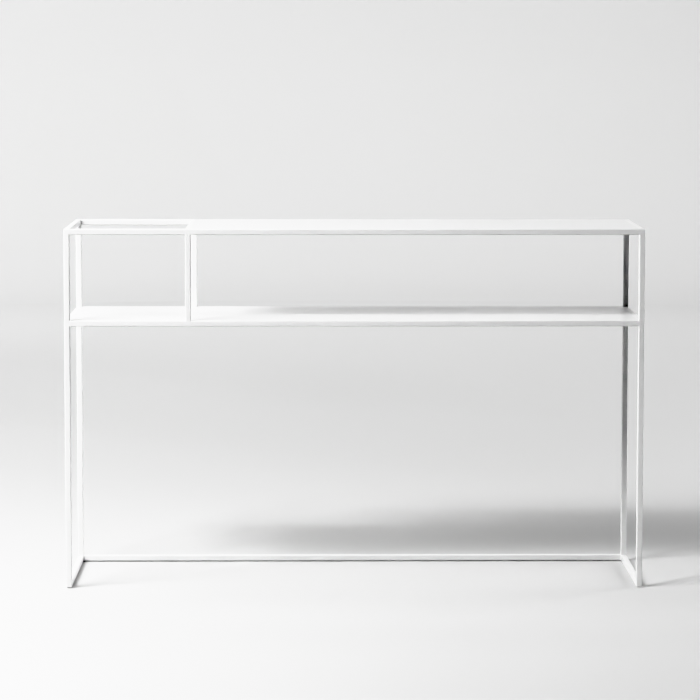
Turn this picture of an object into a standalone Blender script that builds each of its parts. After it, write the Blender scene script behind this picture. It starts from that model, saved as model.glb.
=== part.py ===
"""A minimal console table of square steel bar, powder-coated white.

Metres, +Z up. The origin is on the floor under the middle of the table. +X runs along the table's
length, away from the open cell in its top, and +Y runs from the front to the back.
"""

import bmesh
import bpy
from mathutils import Vector

# The whole table.
LENGTH = 1.200
DEPTH = 0.300
HEIGHT = 0.750
SHELF_TOP = 0.560  # the height of the shelf's upper face
CELL_LENGTH = 0.250  # from the table's left side to the left side of the uprights

# What it is made of.
BAR = 0.012  # the side of the square bar
BAR_RADIUS = 0.002  # its rounded long edges
BAR_SEGMENTS = 3
SHEET = 0.002  # the thickness of the top panel and the shelf panel
SHEET_CHAMFER = 0.0003
GLIDE_HEIGHT = 0.002
GLIDE_RADIUS = 0.004
GLIDE_INSET = 0.024  # from the frame's front and back faces to a glide's centre
GLIDE_SIDES = 24
GAP = 0.0003  # left between neighbouring pieces

COATING = ("white_powder_coat", (0.86, 0.86, 0.855, 1.0), 0.45)
GLIDE_PLASTIC = ("pale_grey_plastic", (0.55, 0.55, 0.54, 1.0), 0.5)

# Where the faces are that the pieces are set out from.
RIGHT = LENGTH / 2
LEFT = -RIGHT
BACK = DEPTH / 2
FRONT = -BACK
FLOOR_SIDE = GLIDE_HEIGHT  # the underside of the lowest bars
CELL_RIGHT = LEFT + CELL_LENGTH  # the left side of the uprights and the cross rail
AXES = (Vector((1, 0, 0)), Vector((0, 1, 0)), Vector((0, 0, 1)))


def clear_scene():
    """Removes every object, so that the table is alone in the scene."""
    for old in list(bpy.data.objects):
        bpy.data.objects.remove(old, do_unlink=True)


def new_collection(name):
    """A collection of the scene's, for the table's pieces."""
    collection = bpy.data.collections.new(name)
    bpy.context.scene.collection.children.link(collection)
    return collection


def material(name, colour, roughness):
    """A plain non-metallic finish."""
    made = bpy.data.materials.new(name)
    made.use_nodes = True
    shader = made.node_tree.nodes["Principled BSDF"]
    shader.inputs["Base Color"].default_value = colour
    shader.inputs["Roughness"].default_value = roughness
    shader.inputs["Metallic"].default_value = 0.0
    made.diffuse_color = colour
    return made


def block(low, high):
    """A box as a bmesh round the origin, with the point where its centre goes."""
    size = Vector(high) - Vector(low)
    shape = bmesh.new()
    bmesh.ops.create_cube(shape, size=1.0)
    bmesh.ops.scale(shape, vec=size, verts=shape.verts)
    return shape, (Vector(low) + Vector(high)) / 2


def place(shape, name, centre, finish, collection):
    """Turns a bmesh into a named object at its place, with a material of its own."""
    mesh = bpy.data.meshes.new(name)
    shape.to_mesh(mesh)
    shape.free()
    piece = bpy.data.objects.new(name, mesh)
    piece.location = centre
    label, colour, roughness = finish
    mesh.materials.append(material(f"{name}_{label}", colour, roughness))
    collection.objects.link(piece)
    return piece


def bar(name, low, high, collection, mitres=()):
    """A square bar that fills the box from low to high, with its long edges rounded.

    Each mitre is the pair of directions along the bar to a mitred end and across it to the side
    that stays long. The cut runs at 45 degrees from that outer corner, half a gap short of it.
    """
    shape, centre = block(low, high)
    size = Vector(high) - Vector(low)
    run = max(AXES, key=size.dot)
    long_edges = [
        edge for edge in shape.edges
        if abs((edge.verts[1].co - edge.verts[0].co).dot(run)) > BAR
    ]
    bmesh.ops.bevel(
        shape,
        geom=long_edges,
        affect="EDGES",
        offset=BAR_RADIUS,
        segments=BAR_SEGMENTS,
        profile=0.5,
    )
    for end, outside in mitres:
        normal = (end - outside).normalized()
        corner = end * size.dot(run) / 2 + outside * BAR / 2
        cut = bmesh.ops.bisect_plane(
            shape,
            geom=shape.verts[:] + shape.edges[:] + shape.faces[:],
            plane_co=corner - normal * GAP / 2,
            plane_no=normal,
            clear_outer=True,
        )
        rim = [item for item in cut["geom_cut"] if isinstance(item, bmesh.types.BMEdge)]
        bmesh.ops.contextual_create(shape, geom=rim)
    bmesh.ops.recalc_face_normals(shape, faces=shape.faces)
    return place(shape, name, centre, COATING, collection)


def sheet(name, low, high, collection):
    """A flat panel with its sharp edges broken by a fine chamfer."""
    shape, centre = block(low, high)
    piece = place(shape, name, centre, COATING, collection)
    edge = piece.modifiers.new("broken_edges", "BEVEL")
    edge.width = SHEET_CHAMFER
    edge.segments = 1
    return piece


def glide(name, centre, collection):
    """A round plastic pad under the frame, with its foot on the floor."""
    shape = bmesh.new()
    thickness = GLIDE_HEIGHT - GAP
    bmesh.ops.create_cone(
        shape,
        cap_ends=True,
        segments=GLIDE_SIDES,
        radius1=GLIDE_RADIUS,
        radius2=GLIDE_RADIUS,
        depth=thickness,
    )
    middle = Vector((*centre, thickness / 2))
    return place(shape, name, middle, GLIDE_PLASTIC, collection)


def make_hoops(parts):
    """The front frame, open at the floor, and the closed rear frame, both mitred at their corners."""
    along, deep, up = AXES
    sides = (("left", LEFT, -along), ("right", RIGHT - BAR, along))
    for side, x, outward in sides:
        bar(
            f"leg_front_{side}",
            (x, FRONT, FLOOR_SIDE),
            (x + BAR, FRONT + BAR, HEIGHT),
            parts,
            mitres=((up, outward), (-up, -deep)),
        )
        bar(
            f"leg_rear_{side}",
            (x, BACK - BAR, FLOOR_SIDE),
            (x + BAR, BACK, HEIGHT),
            parts,
            mitres=((up, outward), (-up, outward)),
        )
    rails = (
        ("top_front_rail", FRONT, HEIGHT - BAR, up),
        ("top_rear_rail", BACK - BAR, HEIGHT - BAR, up),
        ("floor_rear_rail", BACK - BAR, FLOOR_SIDE, -up),
    )
    for name, y, z, outward in rails:
        bar(
            name,
            (LEFT, y, z),
            (RIGHT, y + BAR, z + BAR),
            parts,
            mitres=((-along, outward), (along, outward)),
        )


def make_depth_rails(parts):
    """The bars that run from front to back between the two hoops."""
    deep, up = AXES[1:]
    front = FRONT + BAR + GAP
    back = BACK - BAR - GAP
    shelf = SHELF_TOP - BAR
    top = HEIGHT - BAR
    for name, x, z in (
        ("top_left_rail", LEFT, top),
        ("top_cross_rail", CELL_RIGHT, top),
        ("top_right_rail", RIGHT - BAR, top),
        ("shelf_left_rail", LEFT, shelf),
        ("shelf_right_rail", RIGHT - BAR, shelf),
    ):
        bar(name, (x, front, z), (x + BAR, back, z + BAR), parts)
    for side, x in (("left", LEFT), ("right", RIGHT - BAR)):
        bar(
            f"floor_runner_{side}",
            (x, FRONT, FLOOR_SIDE),
            (x + BAR, back, FLOOR_SIDE + BAR),
            parts,
            mitres=((-deep, -up),),
        )


def make_shelf_and_uprights(parts):
    """The shelf's long rails between the legs, and the two uprights that stand on them."""
    for side, y in (("front", FRONT), ("rear", BACK - BAR)):
        bar(
            f"shelf_{side}_rail",
            (LEFT + BAR + GAP, y, SHELF_TOP - BAR),
            (RIGHT - BAR - GAP, y + BAR, SHELF_TOP),
            parts,
        )
        bar(
            f"upright_{side}",
            (CELL_RIGHT, y, SHELF_TOP + GAP),
            (CELL_RIGHT + BAR, y + BAR, HEIGHT - BAR - GAP),
            parts,
        )


def make_panels(parts):
    """The sheets inside the rails, flush with their upper faces; the top's leaves one cell open."""
    inset = BAR + GAP
    for name, left, top in (
        ("shelf_panel", LEFT, SHELF_TOP),
        ("top_panel", CELL_RIGHT, HEIGHT),
    ):
        sheet(
            name,
            (left + inset, FRONT + inset, top - SHEET),
            (RIGHT - inset, BACK - inset, top),
            parts,
        )


def make_glides(parts):
    """Four pads under the runners, near the table's corners."""
    for side, x in (("left", LEFT + BAR / 2), ("right", RIGHT - BAR / 2)):
        for end, y in (("front", FRONT + GLIDE_INSET), ("rear", BACK - GLIDE_INSET)):
            glide(f"glide_{end}_{side}", (x, y), parts)


def main():
    """Builds the whole table."""
    clear_scene()
    parts = new_collection("console_table")
    make_hoops(parts)
    make_depth_rails(parts)
    make_shelf_and_uprights(parts)
    make_panels(parts)
    make_glides(parts)


main()
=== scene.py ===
"""The looks of the console table: bars, sheets, welds and glides in white powder coat, in a pale studio.

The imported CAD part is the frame. Every shown piece takes its place from a CAD node's box, stays inside
the CAD model's outer size and rides on its one body. Lengths are in metres and powers in watts.
"""

import math

import bmesh
import bpy
from mathutils import Matrix, Vector


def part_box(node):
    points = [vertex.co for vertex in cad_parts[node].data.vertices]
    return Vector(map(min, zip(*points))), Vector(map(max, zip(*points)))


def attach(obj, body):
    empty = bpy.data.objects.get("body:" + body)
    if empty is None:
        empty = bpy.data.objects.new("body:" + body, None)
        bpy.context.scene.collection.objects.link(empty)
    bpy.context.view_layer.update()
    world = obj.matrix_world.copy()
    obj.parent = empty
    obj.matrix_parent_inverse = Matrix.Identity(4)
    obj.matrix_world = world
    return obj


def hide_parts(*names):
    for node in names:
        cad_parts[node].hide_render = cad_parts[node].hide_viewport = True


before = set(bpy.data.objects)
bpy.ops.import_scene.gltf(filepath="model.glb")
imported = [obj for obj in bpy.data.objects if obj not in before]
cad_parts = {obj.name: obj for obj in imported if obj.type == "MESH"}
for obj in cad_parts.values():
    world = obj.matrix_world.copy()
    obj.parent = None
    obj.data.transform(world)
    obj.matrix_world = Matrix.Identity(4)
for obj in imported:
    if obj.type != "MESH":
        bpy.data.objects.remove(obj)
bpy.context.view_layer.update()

BODY = "root"
AXES = "XYZ"

# Bars: their rounded edges, and how far a cut end is broken, so that a joint shows as a seam
CORNER_RADIUS = 0.002
CORNER_STEPS = 6
SEAM = 0.00022

# Sheets
SHEET_EDGE = 0.0004
SHEET_EDGE_STEPS = 3
FLAT_FACE_WEIGHT = 100

# Filler round a sheet: how far round the bar's edge it climbs, its depth at the bar and at the sheet
FILL_ANGLE = math.radians(38.0)
FILL_AT_BAR = 0.0009
FILL_AT_SHEET = 0.0012

# Welds under the sheets, and the shape of a bead: blunt ends, a ripple, a slightly hollow face
WELD_LEG = 0.0026
WELD_BITE = 0.0002
WELD_LENGTH = 0.018
WELD_PITCH = 0.13
WELD_STEPS = 24
WELD_SIDES = 6
WELD_BLUNTNESS = 6
WELD_TIP = 0.25
WELD_BODY = 0.7
WELD_RIPPLE = 0.05
WELD_RIPPLES = 7
WELD_HOLLOW = 1.3

# Glides: (drawn in, up) from the floor at the foot, (drawn in, down) from the bar at the head
GLIDE_FOOT = ((0.0008, 0.0), (0.0003, 0.0002), (0.0, 0.0006))
GLIDE_HEAD = ((0.0, 0.0003), (0.0002, 0.0))
GLIDE_SIDES = 48

# Edges sharper than these show as edges
SHARP_WELD = math.radians(50.0)
SHARP_GLIDE = math.radians(40.0)

# Camera
CAMERA_PLACE = (-0.08143, -5.78032, 1.15369)
CAMERA_YAW = -0.01272
CAMERA_PITCH = -0.08505
CAMERA_ROLL = -0.0011
CAMERA_LENS = 140.87
CAMERA_SENSOR = 36.0
CAMERA_SHIFT = -0.12
CAMERA_REACH = 100.0

# Every bar: the axis it runs along, then how its low and its high end meet a neighbour.
BARS = {
    "leg_front_left": ("Z", ("mitre", "floor_runner_left"), ("mitre", "top_front_rail")),
    "leg_front_right": ("Z", ("mitre", "floor_runner_right"), ("mitre", "top_front_rail")),
    "leg_rear_left": ("Z", ("mitre", "floor_rear_rail"), ("mitre", "top_rear_rail")),
    "leg_rear_right": ("Z", ("mitre", "floor_rear_rail"), ("mitre", "top_rear_rail")),
    "top_front_rail": ("X", ("mitre", "leg_front_left"), ("mitre", "leg_front_right")),
    "top_rear_rail": ("X", ("mitre", "leg_rear_left"), ("mitre", "leg_rear_right")),
    "floor_rear_rail": ("X", ("mitre", "leg_rear_left"), ("mitre", "leg_rear_right")),
    "top_left_rail": ("Y", ("butt", "top_front_rail"), ("butt", "top_rear_rail")),
    "top_cross_rail": ("Y", ("butt", "top_front_rail"), ("butt", "top_rear_rail")),
    "top_right_rail": ("Y", ("butt", "top_front_rail"), ("butt", "top_rear_rail")),
    "shelf_front_rail": ("X", ("butt", "leg_front_left"), ("butt", "leg_front_right")),
    "shelf_rear_rail": ("X", ("butt", "leg_rear_left"), ("butt", "leg_rear_right")),
    "shelf_left_rail": ("Y", ("butt", "leg_front_left"), ("butt", "leg_rear_left")),
    "shelf_right_rail": ("Y", ("butt", "leg_front_right"), ("butt", "leg_rear_right")),
    "upright_front": ("Z", ("butt", "shelf_front_rail"), ("butt", "top_front_rail")),
    "upright_rear": ("Z", ("butt", "shelf_rear_rail"), ("butt", "top_rear_rail")),
    "floor_runner_left": ("Y", ("mitre", "leg_front_left"), ("butt", "leg_rear_left")),
    "floor_runner_right": ("Y", ("mitre", "leg_front_right"), ("butt", "leg_rear_right")),
}

# Every sheet: the four bars round it, as (low X, high X, low Y, high Y).
SHEETS = {
    "top_panel": ("top_cross_rail", "top_right_rail", "top_front_rail", "top_rear_rail"),
    "shelf_panel": ("shelf_left_rail", "shelf_right_rail", "shelf_front_rail", "shelf_rear_rail"),
}

GLIDES = ("glide_front_left", "glide_front_right", "glide_rear_left", "glide_rear_right")


# ---------------------------------------------------------------- materials

IOR = 1.5
COAT_TONE_DRIFT = 0.008
COAT_GLOSS_DRIFT = 0.04
PLASTIC_TONE_DRIFT = 0.05
PLASTIC_GLOSS_DRIFT = 0.05
PAPER_TONE_DRIFT = 0.005
GRAIN_FINENESS = 5.0
GRAIN_DEPTH = 0.3


def node(tree, kind, **inputs):
    """A new shader node with some of its sockets set."""
    made = tree.nodes.new(kind)
    for key, value in inputs.items():
        made.inputs[key.replace("_", " ")].default_value = value
    return made


def grey(value):
    return (value, value, value, 1.0)


def new_material(name):
    """A new material with its node tree, its shader, and its places in the piece's own coordinates."""
    mat = bpy.data.materials.new(name)
    mat.use_nodes = True
    tree = mat.node_tree
    place = tree.nodes.new("ShaderNodeTexCoord").outputs["Object"]
    return mat, tree, tree.nodes["Principled BSDF"], place


def noise(tree, place, **inputs):
    """A noise over the places."""
    made = node(tree, "ShaderNodeTexNoise", **inputs)
    tree.links.new(place, made.inputs["Vector"])
    return made.outputs["Fac"]


def drift_tone(tree, shader, cloud, tone, drift, start=0.0, stop=1.0):
    """Lets the colour drift from just under its tone up to it, as a noise goes from start to stop."""
    tint = tree.nodes.new("ShaderNodeValToRGB")
    low, high = tint.color_ramp.elements
    low.position, low.color = start, grey(tone * (1.0 - drift))
    high.position, high.color = stop, grey(tone)
    tree.links.new(cloud, tint.inputs["Fac"])
    tree.links.new(tint.outputs["Color"], shader.inputs["Base Color"])


def drift_gloss(tree, shader, cloud, roughness, drift):
    """Lets the shader's roughness drift to both sides of a value with a noise."""
    gloss = node(tree, "ShaderNodeMapRange", To_Min=roughness - drift, To_Max=roughness + drift)
    tree.links.new(cloud, gloss.inputs["Value"])
    tree.links.new(gloss.outputs["Result"], shader.inputs["Roughness"])


def coat(name, tone, roughness, peel_size, peel_depth):
    """A powder coat: an even tone, an orange peel with a finer grain, and a gloss that drifts a little."""
    mat, tree, shader, place = new_material(name)
    shader.inputs["IOR"].default_value = IOR
    slow = noise(tree, place, Scale=9.0, Detail=2.0, Roughness=0.5)
    drift_tone(tree, shader, slow, tone, COAT_TONE_DRIFT, 0.3, 0.7)
    cloud = noise(tree, place, Scale=60.0, Detail=3.0, Roughness=0.55)
    drift_gloss(tree, shader, cloud, roughness, COAT_GLOSS_DRIFT)

    peel = noise(tree, place, Scale=1.0 / peel_size, Detail=1.0, Roughness=0.4)
    grain = noise(tree, place, Scale=GRAIN_FINENESS / peel_size, Detail=2.0, Roughness=0.6)
    wide = node(tree, "ShaderNodeBump", Strength=0.55, Distance=peel_depth)
    fine = node(tree, "ShaderNodeBump", Strength=0.35, Distance=peel_depth * GRAIN_DEPTH)
    tree.links.new(peel, wide.inputs["Height"])
    tree.links.new(grain, fine.inputs["Height"])
    tree.links.new(wide.outputs["Normal"], fine.inputs["Normal"])
    tree.links.new(fine.outputs["Normal"], shader.inputs["Normal"])
    return mat


def plastic(name, tone, roughness):
    """A moulded plastic with a faint mottle."""
    mat, tree, shader, place = new_material(name)
    shader.inputs["IOR"].default_value = IOR
    mottle = noise(tree, place, Scale=700.0, Detail=2.0)
    drift_tone(tree, shader, mottle, tone, PLASTIC_TONE_DRIFT)
    drift_gloss(tree, shader, mottle, roughness, PLASTIC_GLOSS_DRIFT)
    return mat


def paper(name, tone):
    """The studio's pale floor and wall: matte paper with a faint tooth."""
    mat, tree, shader, place = new_material(name)
    shader.inputs["Roughness"].default_value = 0.9
    shader.inputs["Specular IOR Level"].default_value = 0.0
    tooth = noise(tree, place, Scale=400.0, Detail=2.0)
    drift_tone(tree, shader, tooth, tone, PAPER_TONE_DRIFT)
    return mat


# ---------------------------------------------------------------- pieces


def mesh_from(bm, name):
    """Turns a bmesh into a mesh and frees it."""
    mesh = bpy.data.meshes.new(name)
    bm.to_mesh(mesh)
    bm.free()
    return mesh


def finish_piece(mesh, name, material, replaced=(), normals=None):
    """Links a mesh as a piece of the object with its material in a slot, and hides the CAD nodes that it
    stands for.
    """
    piece = bpy.data.objects.new(name, mesh)
    bpy.context.scene.collection.objects.link(piece)
    mesh.materials.append(material)
    mesh.shade_smooth()
    if normals:
        mesh.normals_split_custom_set(normals)
    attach(piece, BODY)
    if replaced:
        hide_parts(*replaced)
    return piece


def join_rings(bm, rings):
    """Faces between each ring of points and the next."""
    for a, b in zip(rings, rings[1:]):
        for i in range(len(a)):
            j = (i + 1) % len(a)
            bm.faces.new((a[i], a[j], b[j], b[i]))


def turned_rings(bm, centre, profile, sides):
    """Rings of points round an upright line, one for each (radius, height) of a profile."""
    rings = []
    for radius, height in profile:
        ring = []
        for i in range(sides):
            angle = 2.0 * math.pi * i / sides
            place = (centre.x + radius * math.cos(angle), centre.y + radius * math.sin(angle), height)
            ring.append(bm.verts.new(place))
        rings.append(ring)
    return rings


def rounded_square(half, radius, steps):
    """A rounded square's points and outward directions, anticlockwise, with both ends of each arc."""
    points = []
    for quarter in range(4):
        middle = math.pi / 4 + quarter * math.pi / 2
        cx = math.copysign(half - radius, math.cos(middle))
        cy = math.copysign(half - radius, math.sin(middle))
        for step in range(steps + 1):
            angle = quarter * math.pi / 2 + step / steps * math.pi / 2
            way = Vector((math.cos(angle), math.sin(angle)))
            points.append((Vector((cx, cy)) + way * radius, way))
    return points


def end_plane(name, axis, high, joint):
    """Where a bar's end lies along its axis: the stop, and its slope across the bar for a mitre.

    A butt end reaches past its neighbour's rounded edge, so that flush faces run on into each other.
    """
    kind, neighbour = joint
    mine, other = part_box(name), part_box(neighbour)
    if kind == "butt":
        return other[0][axis] + CORNER_RADIUS if high else other[1][axis] - CORNER_RADIUS, None
    size = [b - a for a, b in zip(*other)]
    across = size.index(max(size))
    toward = math.copysign(1.0, (other[0] + other[1])[across] - (mine[0] + mine[1])[across])
    return (other[1] if high else other[0])[axis], (across, toward)


# A bar's points come in four rings: the low end's cut and full outline, then the high end's.
FULL_RINGS = (1, 3)


def bar_mesh(name):
    """A square bar with rounded edges, and its normals. Its ends are cut square or mitred, then broken."""
    axis_name, *joints = BARS[name]
    axis = AXES.index(axis_name)
    u, v = (axis + 1) % 3, (axis + 2) % 3
    low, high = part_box(name)
    middle = (low + high) / 2
    half = (high[u] - low[u]) / 2
    full = rounded_square(half, CORNER_RADIUS, CORNER_STEPS)
    drawn_in = rounded_square(half - SEAM, CORNER_RADIUS - SEAM, CORNER_STEPS)
    bm = bmesh.new()
    ends = []
    for at_high, joint in ((False, joints[0]), (True, joints[1])):
        stop, mitre = end_plane(name, axis, at_high, joint)
        inward = -1.0 if at_high else 1.0
        for outline, back in ((drawn_in, 0.0), (full, SEAM)):
            ring = []
            for point, _ in outline:
                place = middle.copy()
                place[u] += point.x
                place[v] += point.y
                along = back
                if mitre:
                    across, toward = mitre
                    along = half + toward * (place[across] - middle[across]) + back * math.sqrt(2.0)
                place[axis] = stop + inward * along
                ring.append(bm.verts.new(place))
            ends.append(ring)
    low_cut, low_full, high_cut, high_full = ends
    join_rings(bm, (low_cut, low_full, high_full, high_cut))
    bm.faces.new(low_cut[::-1])
    bm.faces.new(high_cut)
    mesh = mesh_from(bm, name)
    return mesh, bar_normals(mesh, axis, u, v, [way for _, way in full])


def bar_normals(mesh, axis, u, v, ways):
    """Corner normals: round along the bar's edges, flat on its faces and ends."""
    round_ways = []
    for way in ways:
        normal = Vector((0.0, 0.0, 0.0))
        normal[u], normal[v] = way.x, way.y
        round_ways.append(normal)
    normals = []
    for face in mesh.polygons:
        for index in face.vertices:
            ring, point = divmod(index, len(ways))
            if len(face.vertices) > 4:
                normals.append(face.normal.copy())
            elif ring in FULL_RINGS:
                normals.append(round_ways[point])
            else:
                normals.append((round_ways[point] + face.normal).normalized())
    return normals


def make_bars(material):
    """The frame: one coated bar for each row of BARS."""
    for name in BARS:
        mesh, normals = bar_mesh(name)
        finish_piece(mesh, name + "_bar", material, [name], normals)


def sheet_outline(name):
    """The opening between the four bars round a sheet, and the level of their upper faces."""
    left, right, front, back = SHEETS[name]
    low = (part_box(left)[1].x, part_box(front)[1].y)
    high = (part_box(right)[0].x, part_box(back)[0].y)
    return low, high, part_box(name)[1].z


def make_sheets(material):
    """The sheets fill their openings, with their edges just broken."""
    for name in SHEETS:
        (x0, y0), (x1, y1), top = sheet_outline(name)
        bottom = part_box(name)[0].z
        centre = Vector(((x0 + x1) / 2, (y0 + y1) / 2, (bottom + top) / 2))
        size = Matrix.Diagonal((x1 - x0, y1 - y0, top - bottom, 1.0))
        bm = bmesh.new()
        bmesh.ops.create_cube(bm, size=1.0, matrix=Matrix.Translation(centre) @ size)
        bmesh.ops.bevel(
            bm,
            geom=list(bm.edges),
            offset=SHEET_EDGE,
            segments=SHEET_EDGE_STEPS,
            profile=0.5,
            affect="EDGES",
            clamp_overlap=True,
        )
        piece = finish_piece(mesh_from(bm, name), name + "_sheet", material, [name])
        piece.modifiers.new("flat_faces", "WEIGHTED_NORMAL").weight = FLAT_FACE_WEIGHT


def make_seams(material):
    """The filler round each sheet: a shallow channel from the sheet's edge to the bar's shoulder."""
    shoulder = CORNER_RADIUS * (1.0 - math.cos(FILL_ANGLE))
    reach = CORNER_RADIUS * (1.0 - math.sin(FILL_ANGLE))
    section = (
        (SHEET_EDGE * 0.8, -SHEET_EDGE * 0.2),
        (0.0, -SHEET_EDGE * 0.75),
        (-reach * 0.45, -SHEET_EDGE * 1.25),
        (-reach, -shoulder),
        (-reach, -shoulder - FILL_AT_BAR),
        (SHEET_EDGE * 0.8, -FILL_AT_SHEET),
    )
    for name in SHEETS:
        (x0, y0), (x1, y1), top = sheet_outline(name)
        corners = ((x0, y0, 1, 1), (x1, y0, -1, 1), (x1, y1, -1, -1), (x0, y1, 1, -1))
        bm = bmesh.new()
        rings = []
        for x, y, sx, sy in corners:
            rings.append([bm.verts.new((x + sx * a, y + sy * a, top + z)) for a, z in section])
        join_rings(bm, rings + rings[:1])
        bmesh.ops.recalc_face_normals(bm, faces=bm.faces)
        mesh = mesh_from(bm, name + "_seam")
        finish_piece(mesh, name + "_seam", material)
        mesh.set_sharp_from_angle(angle=SHARP_WELD)


def weld_bead(bm, start, along, into):
    """A short fillet bead in the corner under a sheet: from start along a side, reaching into the opening."""
    rings = []
    for step in range(WELD_STEPS + 1):
        t = step / WELD_STEPS
        swell = math.sqrt(1.0 - abs(2.0 * t - 1.0) ** WELD_BLUNTNESS)
        ripple = math.cos(WELD_RIPPLES * 2.0 * math.pi * t)
        leg = WELD_LEG * (WELD_TIP + WELD_BODY * swell + WELD_RIPPLE * ripple)
        place = start + along * (WELD_LENGTH * t)
        ring = [bm.verts.new(place - into * WELD_BITE + Vector((0.0, 0.0, WELD_BITE)))]
        for side in range(WELD_SIDES + 1):
            angle = side / WELD_SIDES * math.pi / 2
            out, down = leg * math.cos(angle) ** WELD_HOLLOW, leg * math.sin(angle) ** WELD_HOLLOW
            ring.append(bm.verts.new(place + into * out - Vector((0.0, 0.0, down))))
        rings.append(ring)
    join_rings(bm, rings)
    bm.faces.new(rings[0])
    bm.faces.new(rings[-1][::-1])


def make_welds(material):
    """Short welds, evenly spaced, where each sheet's underside meets the bars round it."""
    ahead, aside = Vector((1.0, 0.0, 0.0)), Vector((0.0, 1.0, 0.0))
    for name in SHEETS:
        (x0, y0), (x1, y1), _ = sheet_outline(name)
        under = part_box(name)[0].z
        sides = (
            (Vector((x0, y0, under)), ahead, aside, x1 - x0),
            (Vector((x1, y1, under)), -ahead, -aside, x1 - x0),
            (Vector((x0, y1, under)), -aside, ahead, y1 - y0),
            (Vector((x1, y0, under)), aside, -ahead, y1 - y0),
        )
        bm = bmesh.new()
        for corner, along, into, reach in sides:
            count = round(reach / WELD_PITCH)
            for i in range(count):
                middle = (i + 0.5) * reach / count
                weld_bead(bm, corner + along * (middle - WELD_LENGTH / 2), along, into)
        bmesh.ops.recalc_face_normals(bm, faces=bm.faces)
        mesh = mesh_from(bm, name + "_welds")
        finish_piece(mesh, name + "_welds", material)
        mesh.set_sharp_from_angle(angle=SHARP_WELD)


def make_glides(material):
    """The glides: turned pads with a broken rim, pressed up against the bar."""
    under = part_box("floor_runner_left")[0].z
    for name in GLIDES:
        low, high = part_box(name)
        radius = (high.x - low.x) / 2
        foot = [(radius - drawn_in, low.z + up) for drawn_in, up in GLIDE_FOOT]
        head = [(radius - drawn_in, under - down) for drawn_in, down in GLIDE_HEAD]
        bm = bmesh.new()
        rings = turned_rings(bm, (low + high) / 2, foot + head, GLIDE_SIDES)
        join_rings(bm, rings)
        bm.faces.new(rings[0][::-1])
        bm.faces.new(rings[-1])
        mesh = mesh_from(bm, name)
        finish_piece(mesh, name + "_pad", material, [name])
        mesh.set_sharp_from_angle(angle=SHARP_GLIDE)


# ---------------------------------------------------------------- studio

STAGE_RADIUS = 8.0
STAGE_CURVE = 2.0
STAGE_HEIGHT = 4.0
STAGE_SIDES = 96
NEAR_FLOOR = 1.7
CURVE_STEPS = 16


def swept_stage(name, profile, material, filled=False):
    """A surface turned round the vertical axis from (radius, height) points, facing inward and up."""
    bm = bmesh.new()
    rings = turned_rings(bm, Vector((0.0, 0.0, 0.0)), profile, STAGE_SIDES)
    join_rings(bm, rings[::-1])
    if filled:
        bm.faces.new(rings[0])
    mesh = mesh_from(bm, name)
    mesh.shade_smooth()
    mesh.materials.append(material)
    made = bpy.data.objects.new(name, mesh)
    bpy.context.scene.collection.objects.link(made)
    return made


def make_stage(material):
    """A round floor that sweeps up into a low wall, far enough out to hold a camera on every side.

    Only the floor near the object bounces soft light onto it. The rest shows in the picture and in gloss, and
    the wall throws no shadow.
    """
    flat = STAGE_RADIUS - STAGE_CURVE
    swept_stage("floor", [(NEAR_FLOOR, 0.0)], material, filled=True)
    outer = swept_stage("floor_outer", [(NEAR_FLOOR, 0.0), (flat, 0.0)], material)
    outer.visible_diffuse = False
    profile = []
    for step in range(CURVE_STEPS + 1):
        angle = step / CURVE_STEPS * math.pi / 2
        profile.append((flat + STAGE_CURVE * math.sin(angle), STAGE_CURVE * (1.0 - math.cos(angle))))
    profile.append((STAGE_RADIUS, STAGE_HEIGHT))
    wall = swept_stage("wall", profile, material)
    wall.visible_diffuse = False
    wall.visible_shadow = False


def soft_light(name, place, target, size, power):
    """A rectangular area light at a place, turned to a target."""
    light = bpy.data.lights.new(name, "AREA")
    light.shape = "RECTANGLE"
    light.size, light.size_y = size
    light.energy = power
    lamp = bpy.data.objects.new(name, light)
    lamp.location = place
    lamp.rotation_mode = "QUATERNION"
    lamp.rotation_quaternion = (Vector(target) - Vector(place)).to_track_quat("-Z", "Y")
    lamp.visible_camera = False
    bpy.context.scene.collection.objects.link(lamp)


# The key, up at the left front: a bank of soft lights, a low soft light and a bank of small hard ones. Each
# bank has its distance, size and power, then its lights' degrees from the left side toward the front, and up.
KEY_AIM = Vector((0.0, 0.0, 0.4))
KEY_BANKS = (
    ("key_soft", 4.0, 0.8, 25.0, ((21, 42), (31, 33), (31, 42), (41, 33))),
    ("key_low", 3.0, 0.6, 42.0, ((24, 25),)),
    ("key_hard", 4.0, 0.28, 31.0, ((36, 40), (48, 40), (42, 46), (50, 46))),
)

# Strips over the floor behind the object, each further back and twice as strong as the one before.
STRIP_COUNT = 3
STRIP_FIRST, STRIP_STEP, STRIP_HEIGHT = 2.4, 2.0, 4.0
STRIP_SIZE = (6.0, 0.8)
STRIP_POWER = 24.0

# The other lights: name, place, target, size and power.
LIGHTS = (
    ("over_left", (-1.6, 0.5, 3.4), (-0.8, 0.25, 0.0), (1.3, 1.3), 23.0),
    ("wall_wash", (0.0, 5.0, 3.6), (0.0, 8.0, 0.5), (5.0, 0.8), 64.0),
    ("floor_strip", (0.0, 3.0, 1.8), (0.0, 3.0, 0.0), (6.0, 0.6), 7.0),
    ("floor_left", (-2.2, 2.8, 1.8), (-2.2, 2.8, 0.0), (2.4, 0.6), 25.0),
    ("floor_side", (-1.6, 1.7, 1.8), (-1.6, 1.7, 0.0), (1.6, 0.6), 5.0),
    ("wall_left", (-3.5, 4.5, 2.2), (-1.0, 8.0, 1.5), (1.5, 1.5), 80.0),
    ("wall_right", (3.5, 4.5, 2.2), (1.0, 8.0, 1.5), (1.5, 1.5), 32.0),
    ("fill_right", (4.5, 1.2, 1.3), (0.4, 0.0, 0.3), (2.4, 2.4), 225.0),
)

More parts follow.
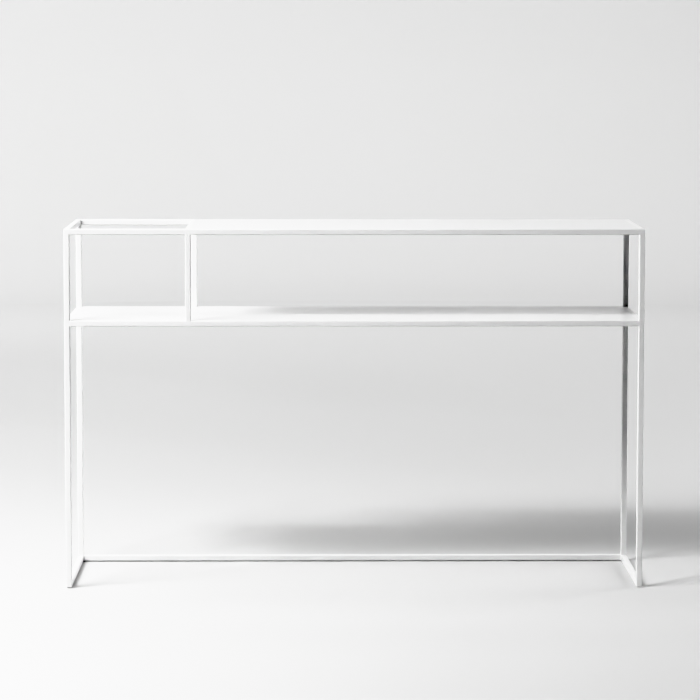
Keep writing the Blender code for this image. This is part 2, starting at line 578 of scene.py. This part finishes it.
# Round the rest of the studio, pairs of lights that face outward keep the wall and the outer floor pale. Each
# pair has its direction in degrees from +X, then the wall light's and the floor light's power. Places and
# targets are a distance from the middle and a height.
RING = (
    (0.0, 120.0, 60.0),
    (-45.0, 105.0, 95.0),
    (-90.0, 35.0, 0.0),
    (-135.0, 90.0, 0.0),
    (180.0, 150.0, 30.0),
)
RING_WALL_PLACE, RING_WALL_TARGET = (4.6, 2.2), (8.0, 1.2)
RING_FLOOR_PLACE, RING_FLOOR_TARGET = (3.0, 2.0), (6.5, 0.3)
RING_SIZE = (2.4, 1.0)

# Tones: the scene light shown as black, the light above it that reaches white, and between them the shoulder,
# as the light over the black level and the tone that it's shown as.
BLACK_LEVEL = 0.17
WHITE_REACH = 1.6
SHOULDER = ((0.8, 0.8), (0.96, 0.905), (1.12, 0.95), (1.36, 0.98), (1.6, 0.995))


def studio_point(degrees, distance, height):
    """A point round the studio: its direction from +X, its distance from the middle and its height."""
    angle = math.radians(degrees)
    return Vector((distance * math.cos(angle), distance * math.sin(angle), height))


def key_place(turn, rise, distance):
    """A key light's place, from its degrees round from the left side and up."""
    turn, rise = math.radians(turn), math.radians(rise)
    level = math.cos(rise)
    return KEY_AIM + Vector((-level * math.cos(turn), -level * math.sin(turn), math.sin(rise))) * distance


def make_studio():
    """The stage, its lights, and a world that gives no light of its own."""
    world = bpy.data.worlds.new("studio")
    world.use_nodes = True
    world.node_tree.nodes["Background"].inputs["Strength"].default_value = 0.0
    bpy.context.scene.world = world
    for name, distance, size, power, ways in KEY_BANKS:
        for turn, rise in ways:
            soft_light(name, key_place(turn, rise, distance), KEY_AIM, (size, size), power)
    for i in range(STRIP_COUNT):
        back = STRIP_FIRST + i * STRIP_STEP
        soft_light("strip", (0.0, back, STRIP_HEIGHT), (0.0, back, 0.0), STRIP_SIZE, STRIP_POWER * 2**i)
    for row in LIGHTS:
        soft_light(*row)
    for degrees, wall_power, floor_power in RING:
        for name, place, target, power in (
            ("ring_wall", RING_WALL_PLACE, RING_WALL_TARGET, wall_power),
            ("ring_floor", RING_FLOOR_PLACE, RING_FLOOR_TARGET, floor_power),
        ):
            if power:
                start, end = studio_point(degrees, *place), studio_point(degrees, *target)
                soft_light(name, start, end, RING_SIZE, power)
    make_stage(paper("studio_paper", tone=0.63))


def make_grade():
    """The picture's tones: a raised black level, and a shoulder that keeps the brightest whites apart."""
    view = bpy.context.scene.view_settings
    view.view_transform = "Standard"
    view.look = "None"
    view.use_curve_mapping = True
    mapping = view.curve_mapping
    mapping.black_level = (BLACK_LEVEL,) * 3
    mapping.white_level = (BLACK_LEVEL + WHITE_REACH,) * 3
    mapping.extend = "HORIZONTAL"
    curve = mapping.curves[3]
    curve.points[0].location = (0.0, 0.0)
    curve.points[1].location = (1.0, SHOULDER[-1][1])
    for light, tone in SHOULDER[:-1]:
        curve.points.new(light / WHITE_REACH, tone)
    # The points sort themselves by light, so this keeps the stretch up to the first knee straight.
    for point in (curve.points[0], curve.points[1]):
        point.handle_type = "VECTOR"
    mapping.update()


def make_camera():
    """The camera, turned in the order yaw, pitch, roll from a level view along +Y."""
    data = bpy.data.cameras.new("camera")
    data.sensor_width = CAMERA_SENSOR
    data.lens = CAMERA_LENS
    data.shift_y = CAMERA_SHIFT
    data.clip_end = CAMERA_REACH
    camera = bpy.data.objects.new("camera", data)
    turn = (
        Matrix.Rotation(CAMERA_YAW, 4, "Z")
        @ Matrix.Rotation(CAMERA_PITCH, 4, "X")
        @ Matrix.Rotation(CAMERA_ROLL, 4, "Y")
        @ Matrix.Rotation(math.pi / 2, 4, "X")
    )
    camera.matrix_world = Matrix.Translation(CAMERA_PLACE) @ turn
    bpy.context.scene.collection.objects.link(camera)
    bpy.context.scene.camera = camera


# ---------------------------------------------------------------- scene

frame_coat = coat("frame_coat", tone=0.78, roughness=0.38, peel_size=0.0016, peel_depth=0.00003)
panel_coat = coat("panel_coat", tone=0.74, roughness=0.34, peel_size=0.0018, peel_depth=0.00003)
nylon = plastic("glide_nylon", tone=0.80, roughness=0.55)

make_bars(frame_coat)
make_sheets(panel_coat)
make_seams(panel_coat)
make_welds(panel_coat)
make_glides(nylon)
make_studio()
make_grade()
make_camera()

bpy.context.view_layer.update()
